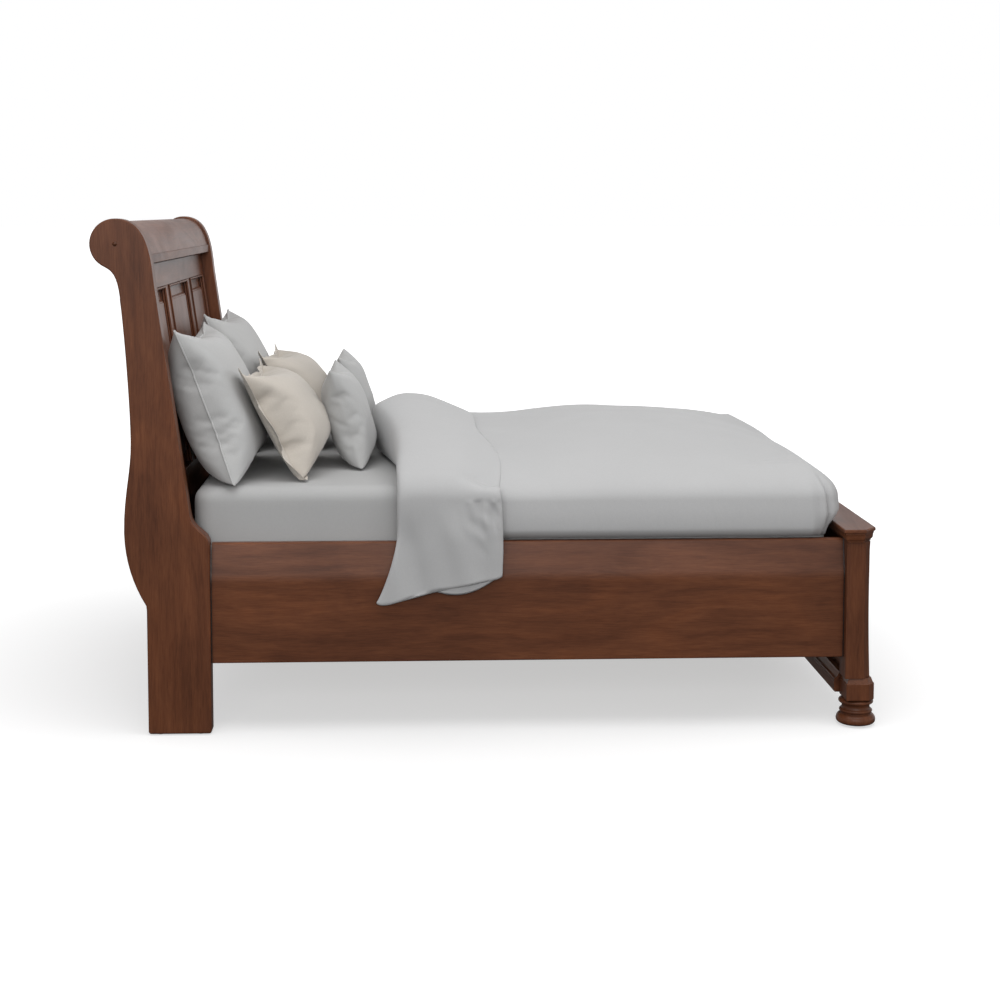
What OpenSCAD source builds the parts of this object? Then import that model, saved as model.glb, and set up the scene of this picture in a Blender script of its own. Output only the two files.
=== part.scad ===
// Sleigh bed for a queen mattress, with its box spring and bedding.
// X runs along the bed with the head at -X, -Y is the left side, and Z is up.
// The origin is on the floor under the centre of the whole bed.

/* [Overall] */
// Length from the back of the headboard roll to the outer edge of the footboard cap
frame_l = 2468; // [2440:2:2500]
// Height of the headboard roll
bed_h = 1626; // [1560:2:1700]
// Distance between the outer faces of the headboard legs
legs_w = 1660; // [1650:2:1690]

/* [Headboard] */
// Thickness of a headboard leg
leg_t = 57; // [45:1:60]
// Lean of the headboard away from upright
lean = 7.9; // [6:0.1:9]
// Radius of the roll along the top of the headboard
roll_r = 78.5; // [70:0.5:82]
// Height at which a leg's straight foot ends and its S curve starts
shoulder_z = 600; // [580:2:620]
// Setback of the frame behind the front of the legs
frame_setback = 42; // [32:1:46]
// Thickness of the headboard and footboard framing
frame_t = 34; // [28:1:40]
// Width of a mullion between two panels
mullion_w = 96; // [70:2:110]
// Distance of a mullion from the middle of the bed
mullion_y = 282; // [250:2:300]

/* [Footboard] */
// Height of the footboard cap
foot_h = 645; // [600:1:700]
// Overall width of the footboard cap
cap_w = 1724; // [1710:2:1760]
// Side of a footboard post
post_w = 77; // [66:1:80]
// Side of the plinth block below a post
plinth_w = 94; // [88:1:100]
// Largest radius of a bun foot
bun_r = 62.5; // [55:0.5:66]

/* [Side rails] */
// Height of the rail's top edge
rail_top = 606; // [580:2:620]
// Depth of a side rail
rail_h = 381; // [340:1:390]
// Thickness of a side rail
rail_t = 25; // [22:0.5:28]
// Lean of the rail's curved upper part
rail_lean = 10; // [6:1:12]

/* [Mattress support] */
// Number of slats
slat_count = 12; // [8:1:16]
// Width of a slat
slat_w = 70; // [60:1:90]

/* [Bedding] */
// Mattress length
mattress_l = 2032; // [2000:1:2040]
// Mattress width
mattress_w = 1520; // [1500:2:1524]
// Height of the mattress top
mattress_top = 776; // [760:1:790]
// Thickness of the box spring
box_spring_t = 223; // [180:1:226]
// Height of the duvet's crown
duvet_top = 930; // [900:5:950]
// Height of the turned-back end of the duvet
fold_top = 986; // [960:2:1000]

/* [Hidden] */
$fn = 48;

wood = "#5e3826";
dark_wood = "#4a2c1e";
pine = "#c9a777";
steel = "#8d9096";
plastic = "#3a3532";
grey_cloth = "#b9b9bb";
beige_cloth = "#c2b6a6";
white_cloth = "#d6d6d6";
ticking = "#cfcabd";

glide_h = 4;
ease = 3;

// Inset of a bun foot's centre from the outer face of its plinth
bun_inset = plinth_w / 2 + 3;
head_x = -(frame_l + bun_r - bun_inset) / 2;
foot_x = head_x + frame_l;
leg_y = legs_w / 2 - leg_t;
roll_centre = [head_x + roll_r, bed_h - roll_r];

// Leaning front of the headboard legs: a line through lean_foot
leg_front_x = head_x + 357;
lean_foot = [leg_front_x - 60, shoulder_z + 97];
lean_top_z = bed_h - 221;
lean_dir = [-sin(lean), cos(lean)];
lean_top = lean_foot + lean_dir * (lean_top_z - lean_foot[1]) / cos(lean);

// Distance up the leaning line at a given height
function up(z) = (z - lean_foot[1]) / cos(lean);

// ---------- outlines ----------

function bezier(a, b, c, d, n) = [for (i = [0:n]) let (t = i / n, s = 1 - t)
  s * s * s * a + 3 * s * s * t * b + 3 * s * t * t * c + t * t * t * d];

function arc(centre, r, from, to, n) = [for (i = [0:n]) let (a = from + (to - from) * i / n)
  centre + r * [cos(a), sin(a)]];

function rectangle(x0, y0, x1, y1) = [[x0, y0], [x1, y0], [x1, y1], [x0, y1]];

// Rectangle with four rounded corners
function round_rect(x0, y0, x1, y1, r, n = 4) = concat(
  arc([x1 - r, y0 + r], r, -90, 0, n), arc([x1 - r, y1 - r], r, 0, 90, n),
  arc([x0 + r, y1 - r], r, 90, 180, n), arc([x0 + r, y0 + r], r, 180, 270, n));

function unit(v) = v / norm(v);
function left_of(v) = [-v[1], v[0]];

// Point i of a closed outline moved inwards by d along its mitre (counterclockwise outline)
function mitred(points, i, d) =
  let (
    n = len(points),
    before = left_of(unit(points[i] - points[(i + n - 1) % n])),
    after = left_of(unit(points[(i + 1) % n] - points[i])),
    mitre = unit(before + after)
  ) points[i] + mitre * d / max(0.4, mitre * after);

function inset(points, d) = [for (i = [0:len(points) - 1]) mitred(points, i, d)];

// Open path moved to its left by d
function shifted(path, d) = [for (i = [0:len(path) - 1])
  let (a = path[max(0, i - 1)], b = path[min(len(path) - 1, i + 1)])
  path[i] + left_of(unit(b - a)) * d];

function reversed(points) = [for (i = [len(points) - 1:-1:0]) points[i]];
function after_first(points) = [for (i = [1:len(points) - 1]) points[i]];

// Twice the area of a triangle, above 0 where it runs counterclockwise
function turn(a, b, c) = (b[0] - a[0]) * (c[1] - a[1]) - (b[1] - a[1]) * (c[0] - a[0]);

// Whether the triangle at corner k of a loop of point numbers holds none of the loop's other points
function is_ear(points, loop, k) =
  let (
    n = len(loop),
    a = points[loop[(k + n - 1) % n]],
    b = points[loop[k]],
    c = points[loop[(k + 1) % n]],
    inside = [for (i = [2:n - 2]) let (p = points[loop[(k + i) % n]])
      if (min(turn(a, b, p), turn(b, c, p), turn(c, a, p)) >= 0) i]
  ) turn(a, b, c) > 0 && len(inside) == 0;

function first_ear(points, loop, k = 0) =
  is_ear(points, loop, k) ? k : first_ear(points, loop, k + 1);

// Counterclockwise outline with hollows, cut into triangles of point numbers
function triangles(points, loop) = len(loop) == 3 ? [loop] :
  let (n = len(loop), k = first_ear(points, loop)) concat(
    [[loop[(k + n - 1) % n], loop[k], loop[(k + 1) % n]]],
    triangles(points, [for (i = [0:n - 1]) if (i != k) loop[i]]));

// ---------- shared solids ----------

// Closed solid through a stack of rings that all have the same number of points. The ends are
// one face each, or the faces in ends, which name a ring's points
module skin(rings, ends = undef) {
  n = len(rings[0]);
  count = len(rings);
  sides = [for (k = [0:count - 2], i = [0:n - 1])
    let (a = k * n + i, b = k * n + (i + 1) % n) [a, a + n, b + n, b]];
  first = is_undef(ends) ? [[for (i = [0:n - 1]) i]] : ends;
  last = [for (face = first) [for (i = reversed(face)) (count - 1) * n + i]];
  polyhedron([for (ring = rings) each ring], concat(sides, first, last));
}

// Outline in the X-Z plane as a slab from y0 to y1 with eased edges
module slab(outline, y0, y1, r) {
  quarter = [[r, 0], [r * 0.29, r * 0.29], [0, r]];
  steps = concat(
    [for (q = quarter) [q[0], y1 - q[1]]],
    [for (q = reversed(quarter)) [q[0], y0 + q[1]]]);
  skin([for (s = steps) [for (p = inset(outline, s[0])) [p[0], s[1], p[1]]]],
    triangles(inset(outline, r), [for (i = [0:len(outline) - 1]) i]));
}

// Outline in the X-Y plane built up through steps of [inset, height]
module stacked(outline, steps) {
  skin([for (s = steps) [for (p = inset(outline, s[0])) [p[0], p[1], s[1]]]]);
}

// Outline in the X-Z plane extruded along Y
module along_y(y0, y1) {
  translate([0, y1, 0]) rotate([90, 0, 0]) linear_extrude(y1 - y0) children();
}

// Outline in the Y-Z plane extruded along X
module along_x(x0, x1) {
  translate([x0, 0, 0]) rotate([90, 0, 90]) linear_extrude(x1 - x0) children();
}

module mirror_y(on) {
  mirror([0, on ? 1 : 0, 0]) children();
}

// Board with eased long edges: along Z, from a low to a high corner
module upright_board(low, high, r = ease) {
  translate([0, 0, low[2]]) linear_extrude(high[2] - low[2])
    polygon(round_rect(low[0], low[1], high[0], high[1], r));
}

// Board with eased long edges along Y
module cross_board(low, high, r = ease) {
  along_y(low[1], high[1]) polygon(round_rect(low[0], low[2], high[0], high[2], r));
}

// Plane of the headboard framing: +X out of its front face, +Z up its slope
module leaning() {
  translate([lean_foot[0], 0, lean_foot[1]]) rotate([0, -lean, 0])
    translate([-frame_setback / cos(lean), 0, 0]) children();
}

// Raised panel facing +X, from a low to a high corner in Y and Z
module raised_panel(low, high) {
  outline = rectangle(0, 0, high[0] - low[0], high[1] - low[1]);
  field = 52;
  steps = [[0, -23], [0, -14], [22, -14], [field - 9, -12], [field - 6, -8],
    [field - 3, -5], [field, -4.5], [field + 2, -2.5], [field + 5, -2]];
  translate([0, low[0], low[1]]) rotate([90, 0, 90]) stacked(outline, steps);
}

// Mitred moulding of two round beads that frames a panel opening and faces +X
module panel_moulding(low, high) {
  outline = rectangle(0, 0, high[0] - low[0], high[1] - low[1]);
  section = concat([[0, -13.7], [0, 4]], arc([3, 1.5], 4.5, 110, -60, 6),
    arc([5, -7.3], 4.5, 60, -50, 5), [[9, -13.7]]);
  rings = [for (s = section) [for (p = inset(outline, s[0])) [p[0], p[1], s[1]]]];
  n = len(section);
  translate([0, low[0], low[1]]) rotate([90, 0, 90])
    polyhedron([for (ring = rings) each ring],
      [for (k = [0:n - 1], i = [0:3])
        let (a = k * 4, b = ((k + 1) % n) * 4, j = (i + 1) % 4)
        [a + i, b + i, b + j, a + j]]);
}

// ---------- headboard ----------

neck_z = bed_h - 243;
neck_x = head_x + 91;
waist = [head_x + 117, bed_h - 686];
hip = [head_x + 92, shoulder_z + 50];
heel_x = head_x + 159;
hip_r = 458;
neck_dir = unit([0.11, -1]);
roll_end = 221;

function roll_front() = bezier(
  lean_top, lean_top + lean_dir * 75, roll_centre + [111, roll_r], roll_centre + [0, roll_r], 20);

function roll_back() = concat(
  arc(roll_centre, roll_r, 96, roll_end, 20),
  after_first(bezier(
    roll_centre + roll_r * [cos(roll_end), sin(roll_end)],
    roll_centre + roll_r * [cos(roll_end), sin(roll_end)] + 44 * [-sin(roll_end), cos(roll_end)],
    [neck_x, neck_z] - neck_dir * 104, [neck_x, neck_z], 12)));

// Side outline of a headboard leg, counterclockwise from its front foot corner
function leg_outline() = concat(
  arc([leg_front_x - 8, glide_h + 8], 8, -90, 0, 3),
  bezier([leg_front_x, shoulder_z], [leg_front_x, shoulder_z + 50],
    lean_foot - lean_dir * 48, lean_foot, 8),
  roll_front(),
  roll_back(),
  bezier([neck_x, neck_z - 8], [neck_x, neck_z] + neck_dir * 104,
    waist + [0, 103], waist, 10),
  bezier(waist - [0, 8], waist - [0, 101], hip + [0, 116], hip, 8),
  arc(hip + [hip_r, 0], hip_r, 181, 211, 8),
  [[heel_x, hip[1] - 252]],
  arc([heel_x + 8, glide_h + 8], 8, 180, 270, 3));

module headboard_leg(right) {
  color(wood) mirror_y(right) slab(leg_outline(), -legs_w / 2, -leg_y, 3.5);
}

strip_low = bed_h - 141;
strip_high = strip_low + 28;
shell_gap = 9;
shell_t = 20;

// Curved board over the top, from the moulding strip round to the neck behind
module headboard_roll() {
  front = [for (p = roll_front()) if (p[1] > strip_high + 8) p];
  path = concat(front, roll_back());
  outer = shifted(path, shell_gap);
  inner = shifted(path, shell_gap + shell_t);
  lip = outer[0]
    + (outer[0] - outer[1]) * (outer[0][1] - strip_high) / (outer[1][1] - outer[0][1]);
  color(wood) along_y(-leg_y, leg_y)
    polygon(concat([lip], outer, reversed(inner), [[inner[0][0] - 1, strip_high]]));
}

strip_x = lean_top[0] - 19;

// Flat strip between the roll and the top rail
module crest_moulding() {
  color(wood) along_y(-leg_y, leg_y)
    polygon(round_rect(strip_x - 44, strip_low, strip_x, strip_high, 1.5));
}

top_rail_z = [bed_h - 224, strip_low - 1];
mid_rail_z = [700, 800];
low_panel_z = 330;
stile_y = leg_y - 58;

module headboard_top_rail() {
  color(wood) leaning()
    cross_board([-frame_t, -leg_y, up(top_rail_z[0])], [0, leg_y, up(top_rail_z[1])], 2);
}

module headboard_mid_rail() {
  color(wood) leaning()
    cross_board([-frame_t, -leg_y, up(mid_rail_z[0])], [0, leg_y, up(mid_rail_z[1])], 2);
}

// Plain upright panel below the mid rail, behind the box spring
low_panel_x = leg_front_x - 124;

module headboard_lower_panel() {
  color(wood) cross_board([low_panel_x - 16, -leg_y, low_panel_z],
    [low_panel_x, leg_y, mid_rail_z[0] - 12], 1);
}

module headboard_bottom_rail() {
  color(wood) cross_board([low_panel_x - 32, -leg_y, low_panel_z - 95],
    [low_panel_x + 10, leg_y, low_panel_z]);
}

module headboard_stile(right) {
  color(wood) mirror_y(right) leaning()
    upright_board([-frame_t, -leg_y, up(mid_rail_z[1])], [0, -stile_y, up(top_rail_z[0])], 2);
}

module headboard_mullions() {
  for (side = [-1, 1])
    color(wood) leaning()
      upright_board([-frame_t, side * mullion_y - mullion_w / 2, up(mid_rail_z[1])],
        [0, side * mullion_y + mullion_w / 2, up(top_rail_z[0])], 2);
}

// Y limits of the left, centre and right panel openings
head_bays = [
  [-stile_y, -mullion_y - mullion_w / 2],
  [-mullion_y + mullion_w / 2, mullion_y - mullion_w / 2],
  [mullion_y + mullion_w / 2, stile_y]];

module headboard_panel(bay) {
  color(wood) leaning()
    raised_panel([head_bays[bay][0], up(mid_rail_z[1])], [head_bays[bay][1], up(top_rail_z[0])]);
}

module headboard_panel_mouldings() {
  for (bay = head_bays)
    color(wood) leaning()
      panel_moulding([bay[0], up(mid_rail_z[1])], [bay[1], up(top_rail_z[0])]);
}

// Turned plug over the bolt that holds each leg to the roll
module roll_plugs() {
  for (side = [-1, 1])
    color(dark_wood) translate([roll_centre[0], side * legs_w / 2, roll_centre[1]])
      rotate([side * -90, 0, 0]) rotate_extrude()
        polygon(concat([[0, 0], [7, 0]], arc([0, -3], 7.6, 23, 90, 6)));
}

module glide_disc(x, y, r) {
  color(plastic) translate([x, y, 0]) cylinder(h = glide_h, r = r);
}

module headboard_glides() {
  for (side = [-1, 1], x = [heel_x + 36, leg_front_x - 36])
    glide_disc(x, side * (legs_w - leg_t) / 2, 14);
}

// ---------- footboard ----------

post_x = foot_x - 98;
post_y = 765;
post_out = post_y + 75;
plinth_x = foot_x - plinth_w;
plinth_out = post_out + 5;
plinth_z = [88, 142, 160];
cap_z = foot_h - 12;
cove_z = foot_h - 43;

// Plan outline from the middle of the bed to one side, with its outer corner cut off
function cut_corner(x0, x1, y0, y1, cut_x, cut_y) =
  [[x0, y0], [x1, y0], [x1, y1 - cut_y], [x1 - cut_x, y1], [x0, y1]];

module footboard_post(right) {
  height = cove_z - plinth_z[2];
  swell = 7;
  outline = concat(
    [[post_x, plinth_z[2]], [post_x + post_w + swell, plinth_z[2]]],
    bezier([post_x + post_w + swell, plinth_z[2] + 8], [post_x + post_w + 2, plinth_z[2] + 110],
      [post_x + post_w - 1, plinth_z[2] + 170], [post_x + post_w - 1, cove_z - height / 3], 8),
    [[post_x + post_w, cove_z - 26], [post_x + post_w + 2, cove_z], [post_x, cove_z]]);
  plan = cut_corner(post_x, post_x + post_w + swell, post_y, post_out, 17 + swell, 17 + swell);
  color(wood) mirror_y(!right) intersection() {
    along_y(post_y - 1, post_out + 1) polygon(outline);
    linear_extrude(foot_h) polygon(plan);
  }
}

module foot_plinth(right) {
  plan = cut_corner(plinth_x, foot_x, plinth_out - plinth_w, plinth_out, 22, 22);
  steps = [[2, plinth_z[0]], [0, plinth_z[0] + 3], [0, plinth_z[1]], [3, plinth_z[1] + 2],
    [4, plinth_z[1] + 5], [9, plinth_z[2]]];
  color(wood) mirror_y(!right) stacked(plan, steps);
}

// Bun foot: collar, neck, ring and flattened bun, from the floor up
module bun_foot(right) {
  side = right ? 1 : -1;
  profile = concat(
    [[0, glide_h], [44, glide_h]],
    bezier([47, glide_h + 0.6], [bun_r - 5, glide_h + 3], [bun_r, 10], [bun_r, 19], 6),
    bezier([bun_r, 20], [bun_r, 30], [56, 36], [49, 38.5], 6),
    [[49, 42]],
    arc([48, 48], 4.6, -70, 80, 6),
    [[46, 54.5]],
    bezier([45.5, 56], [43, 62], [44, 68], [48, 71], 6),
    arc([48.5, 78], 6.8, -80, 80, 8),
    [[47, 86], [47, plinth_z[0]], [0, plinth_z[0]]]);
  color(wood) translate([foot_x - bun_inset, side * (plinth_out - plinth_w / 2 - 8), 0])
    rotate_extrude() polygon(profile);
}

module bun_foot_glides() {
  for (side = [-1, 1])
    glide_disc(foot_x - bun_inset, side * (plinth_out - plinth_w / 2 - 8), 16);
}

// Plan of the footboard cap, with both outer corners cut off
function cap_plan() = [
  [foot_x - 112, -cap_w / 2], [foot_x - 42, -cap_w / 2], [foot_x, -cap_w / 2 + 53],
  [foot_x, cap_w / 2 - 53], [foot_x - 42, cap_w / 2], [foot_x - 112, cap_w / 2]];

module footboard_cap() {
  color(wood) stacked(cap_plan(), [[1.5, cap_z], [0, cap_z + 1.5], [0, foot_h - 4],
    [1.2, foot_h - 1.2], [4, foot_h]]);
}

// Cove moulding under the cap, over the posts and the top rail
module footboard_cove() {
  cove = [for (t = [0:0.2:1]) [7 + 6 * (1 - sqrt(1 - pow(1 - t, 2))), cove_z + 5 + t * 15]];
  color(wood) stacked(cap_plan(), concat([[14, cove_z], [14, cove_z + 4]], cove,
    [[6, cap_z - 7], [5, cap_z - 5.5], [5, cap_z]]));
}

panel_face_x = foot_x - 40;
foot_top_z = [cove_z - 76, cove_z];
foot_low_z = [plinth_z[2], plinth_z[2] + 74];

module footboard_top_rail() {
  color(wood) cross_board([panel_face_x - frame_t, -post_y, foot_top_z[0]],
    [panel_face_x, post_y, foot_top_z[1]], 2);
}

module footboard_bottom_rail() {
  color(wood) cross_board([panel_face_x - frame_t, -post_y, foot_low_z[0]],
    [panel_face_x, post_y, foot_low_z[1]], 2);
}

// Moulded base between the plinths, with a bead and a bevel on both faces
module footboard_base_rail() {
  x0 = foot_x - 112;
  x1 = foot_x - 6;
  z0 = plinth_z[0] + 6;
  z1 = plinth_z[2];
  half = plinth_out - plinth_w;
  color(wood) along_y(-half, half) polygon(concat(
    [[x0 + 3, z0], [x1 - 3, z0], [x1, z0 + 3], [x1, z0 + 34]],
    arc([x1 - 5, z0 + 41], 5, -60, 80, 5),
    [[x1 - 7, z0 + 48], [x1 - 16, z1 - 4], [x1 - 18, z1], [x0 + 18, z1], [x0 + 16, z1 - 4],
      [x0 + 7, z0 + 48]],
    arc([x0 + 5, z0 + 41], 5, 100, 240, 5),
    [[x0, z0 + 34], [x0, z0 + 3]]));
}

module footboard_mullions() {
  for (side = [-1, 1])
    color(wood) upright_board(
      [panel_face_x - frame_t, side * mullion_y - mullion_w / 2, foot_low_z[1]],
      [panel_face_x, side * mullion_y + mullion_w / 2, foot_top_z[0]], 2);
}

foot_bays = [
  [-post_y, -mullion_y - mullion_w / 2],
  [-mullion_y + mullion_w / 2, mullion_y - mullion_w / 2],
  [mullion_y + mullion_w / 2, post_y]];

module footboard_panel(bay) {
  color(wood) translate([panel_face_x, 0, 0])
    raised_panel([foot_bays[bay][0], foot_low_z[1]], [foot_bays[bay][1], foot_top_z[0]]);
}

module footboard_panel_mouldings() {
  for (bay = foot_bays)
    color(wood) translate([panel_face_x, 0, 0])
      panel_moulding([bay[0], foot_low_z[1]], [bay[1], foot_top_z[0]]);
}

// ---------- side rails and mattress support ----------

plate_t = 3;
rail_x0 = leg_front_x + plate_t;
rail_x1 = post_x - plate_t;
rail_out = 813;
rail_bottom = rail_top - rail_h;
bend_z = rail_top - 126;
bend_r = 160;

// Outer face of a side rail in [distance from the middle, height], from the bottom up
function rail_face() = concat(
  [[rail_out, rail_bottom], [rail_out, bend_z - 40]],
  arc([rail_out - bend_r, bend_z], bend_r, 0, rail_lean, 6),
  [[rail_out - bend_r * (1 - cos(rail_lean))
      - (rail_top - bend_z - bend_r * sin(rail_lean)) * tan(rail_lean), rail_top]]);

module side_rail(right) {
  face = rail_face();
  back = shifted(face, rail_t);
  last = len(face) - 1;
  outline = concat(
    [[rail_out - 3, rail_bottom], [rail_out - 0.9, rail_bottom + 0.9],
      [rail_out, rail_bottom + 3]],
    [for (i = [1:last - 1]) face[i]],
    [face[last] + [0.9, -5], face[last] + [-1.2, -1.4], face[last] + [-4.5, 0]],
    [[back[last][0] + 3, rail_top], [back[last][0], rail_top - 3]],
    [for (i = [last - 1:-1:1]) back[i]],
    [[rail_out - rail_t, rail_bottom]]);
  color(wood) mirror_y(!right) along_x(rail_x0, rail_x1) polygon(outline);
}

rail_in = rail_out - rail_t;
ledger_w = 30;
slat_t = 19;
slat_top = mattress_top - 271.5 - box_spring_t;
ledger_top = slat_top - slat_t;

module ledger(right) {
  color(pine) mirror_y(!right) along_x(rail_x0 + 30, rail_x1 - 30)
    polygon(round_rect(rail_in - ledger_w, ledger_top - ledger_w, rail_in, ledger_top, 2));
}

slat_x0 = rail_x0 + 50;
slat_pitch = (rail_x1 - rail_x0 - 100 - slat_w) / (slat_count - 1);

module slats() {
  for (i = [0:slat_count - 1])
    color(pine) cross_board([slat_x0 + i * slat_pitch, -rail_in + 4, ledger_top],
      [slat_x0 + i * slat_pitch + slat_w, rail_in - 4, slat_top], 3);
}

beam_h = 62;
beam_w = 44;
beam_x0 = low_panel_x + 10;
beam_low = ledger_top - beam_h;

module centre_beam() {
  color(pine) along_x(beam_x0 + plate_t, panel_face_x - frame_t - plate_t)
    polygon(round_rect(-beam_w / 2, beam_low, beam_w / 2, ledger_top, 3));
}

// Flat steel cups that carry the beam's ends on the headboard and footboard
module centre_beam_brackets() {
  for (end = [[beam_x0, 1], [panel_face_x - frame_t, -1]])
    color(steel) translate([end[0], 0, beam_low]) mirror([end[1] < 0 ? 1 : 0, 0, 0]) {
      translate([0, -40, 2]) cube([plate_t, 80, 55]);
      translate([0, -beam_w / 2 - plate_t, -plate_t]) cube([36, beam_w + 2 * plate_t, plate_t]);
      for (side = [-1, 1])
        translate([0, side > 0 ? beam_w / 2 : -beam_w / 2 - plate_t, -plate_t])
          cube([36, plate_t, 50]);
      translate([0, -40, -plate_t]) cube([plate_t, 80, 6]);
    }
}

// ---------- rail hardware ----------

plate_y = rail_out - rail_t / 2;
plate_z = rail_bottom + 60;
plate_margin = 3;

// Section of a rail-end plate, a little inside the faces of the rail
plate_section = concat(shifted(rail_face(), plate_margin),
  reversed(shifted(rail_face(), rail_t - plate_margin)));

// The four rail ends: [X of the joint face, direction into the rail]
rail_ends = [[leg_front_x, 1], [post_x, -1]];

module at_rail_ends() {
  for (end = rail_ends, side = [-1, 1])
    translate([end[0], side * plate_y, plate_z]) mirror([end[1] < 0 ? 1 : 0, 0, 0]) children();
}

// Plates with the height of the rail, at a distance from the joint face
module rail_end_plates(gap) {
  for (end = rail_ends, right = [false, true])
    translate([end[0], 0, 0]) mirror([end[1] < 0 ? 1 : 0, 0, 0]) mirror_y(!right)
      along_x(gap, gap + plate_t / 2) polygon(plate_section);
}

// Plates on the rail ends, each with two hooks that drop into the post
module rail_hook_plates() {
  color(steel) {
    rail_end_plates(plate_t / 2);
    at_rail_ends()
      for (z = [26, 100])
        translate([plate_t / 2, -1.5, z]) rotate([90, 0, 0]) translate([0, 0, -3])
          linear_extrude(3) polygon([[0, 0], [0, 24], [-13, 24], [-13, -8], [-8, -8], [-6, 0]]);
  }
}

// Slotted plates on the leg and post faces
module post_slot_plates() {
  color(steel) difference() {
    rail_end_plates(0);
    at_rail_ends()
      for (z = [14, 88])
        translate([-1, -2.5, z]) cube([plate_t, 5, 38]);
  }
}

module screw(length, r) {
  color(steel) rotate_extrude()
    polygon([[0, 0], [2 * r, 0], [r, r], [r, length - 2 * r], [0, length]]);
}

module plate_screws() {
  for (z = [72, 140])
    at_rail_ends() translate([-2, 0, z - 62]) {
      translate([plate_t / 2 + 2, 0, 0]) rotate([0, 90, 0]) screw(32, 2.2);
      translate([plate_t / 2 + 2, 0, 0]) rotate([0, -90, 0]) screw(28, 2.2);
    }
}

module ledger_screws() {
  for (side = [-1, 1], i = [0:6])
    translate([rail_x0 + 80 + i * (rail_x1 - rail_x0 - 160) / 6,
      side * (rail_in - ledger_w), ledger_top - ledger_w / 2])
      rotate([-90 * side, 0, 0]) screw(44, 2);
}

module slat_screws() {
  for (side = [-1, 1], i = [0:slat_count - 1])
    translate([slat_x0 + i * slat_pitch + slat_w / 2, side * (rail_in - ledger_w / 2), slat_top])
      rotate([180, 0, 0]) screw(36, 2);
}

// ---------- box spring, mattress and bedding ----------

clear = 0.3;
mattress_x0 = leg_front_x - 61;
mattress_x1 = mattress_x0 + mattress_l;
box_z0 = slat_top + clear;
mattress_z0 = box_z0 + box_spring_t + clear;

module box_spring() {
  color(ticking) translate([0, 0, box_z0]) linear_extrude(box_spring_t)
    polygon(round_rect(mattress_x0, -mattress_w / 2, mattress_x1, mattress_w / 2, 40, 6));
}

module rounded_block(low, high, corner_r, edge_r) {
  plan = round_rect(low[0], low[1], high[0], high[1], corner_r, 5);
  top_edge = [for (a = [0:18:90]) [edge_r * (1 - cos(a)), high[2] - edge_r * (1 - sin(a))]];
  low_edge = [for (a = [90:-30:0]) [18 * (1 - cos(a)), low[2] + 18 * (1 - sin(a))]];
  stacked(plan, concat(low_edge, top_edge));
}

module mattress() {
  color(white_cloth) rounded_block([mattress_x0, -mattress_w / 2, mattress_z0],
    [mattress_x1, mattress_w / 2, mattress_top], 60, 46);
}

duvet_x0 = mattress_x0 + 640;
duvet_x1 = foot_x - 120;
duvet_side = 797;
duvet_hem = rail_top + 4;
fold_x0 = mattress_x0 + 560;
fold_x1 = mattress_x0 + 985;
flap_in = rail_out + 4;
flap_out = rail_out + 36;
flap_low = rail_top - 190;

// Half of the duvet's cross-section round the mattress, without its underside
function crown(half_w, low, crown_z, shoulder) = concat(
  [[half_w, low]],
  bezier([half_w, low + 60], [half_w + 6, shoulder - 10], [half_w - 20, shoulder + 40],
    [half_w - 160, shoulder + 62], 6),
  bezier([half_w - 200, shoulder + 68], [half_w - 380, crown_z - 4], [200, crown_z],
    [0, crown_z], 5));

function whole(half) = concat([for (p = half) p],
  [for (p = reversed(half)) if (p[0] > 0) [-p[0], p[1]]]);

module crown_section(x, half_w, crown_z, shoulder, low) {
  translate([x, 0, 0]) along_x(-1, 1) polygon(whole(crown(half_w, low, crown_z, shoulder)));
}

// Duvet with its head end turned back over itself and hanging outside both rails
module duvet() {
  color(grey_cloth) difference() {
    union() {
      hull() {
        crown_section(duvet_x0 + 1, duvet_side, duvet_top - 10, 790, duvet_hem);
        crown_section(duvet_x0 + 800, duvet_side, duvet_top, 800, duvet_hem);
        crown_section(duvet_x1 - 250, duvet_side, duvet_top - 70, 775, duvet_hem);
        crown_section(duvet_x1 - 50, duvet_side - 8, duvet_top - 105, 740, duvet_hem);
        crown_section(duvet_x1 - 1, duvet_side - 46, duvet_top - 160, 690, duvet_hem);
      }
      hull() {
        crown_section(fold_x0 + 1, flap_out - 20, fold_top - 110, 790, duvet_hem);
        crown_section(fold_x0 + 120, flap_out, fold_top, 815, duvet_hem);
        crown_section(fold_x1 - 130, flap_out, fold_top - 40, 815, duvet_hem);
        crown_section(fold_x1 - 1, flap_out - 20, fold_top - 110, 790, duvet_hem);
      }
      for (side = [-1, 1])
        hull() {
          translate([fold_x0 + 10, side * (flap_in + flap_out) / 2 - 15, duvet_hem])
            cube([fold_x1 - fold_x0 - 20, 30, 40]);
          translate([fold_x0 + 30, side * (flap_in + flap_out) / 2 - 12, flap_low])
            cube([80, 24, 20]);
          translate([fold_x1 - 150, side * (flap_in + flap_out) / 2 - 12, flap_low + 60])
            cube([130, 24, 20]);
        }
    }
    rounded_block([mattress_x0 - clear, -mattress_w / 2 - clear, mattress_z0 - clear],
      [mattress_x1 + clear, mattress_w / 2 + clear, mattress_top + clear], 60, 46);
  }
}

// Pillow standing on its long edge: corners, a deeper front and a flatter back
module pillow(width, height, front, back, corner = 9) {
  hull() {
    for (y = [-1, 1], z = [0, 1])
      translate([0, y * (width / 2 - corner), corner + z * (height - 2 * corner)])
        sphere(r = corner, $fn = 12);
    for (side = [[front, 1], [back, -1]])
      translate([side[0] * side[1] * 0.55, 0, height * 0.48])
        scale([side[0] * 0.45, width * 0.36, height * 0.34]) sphere(r = 1, $fn = 20);
  }
}

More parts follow.
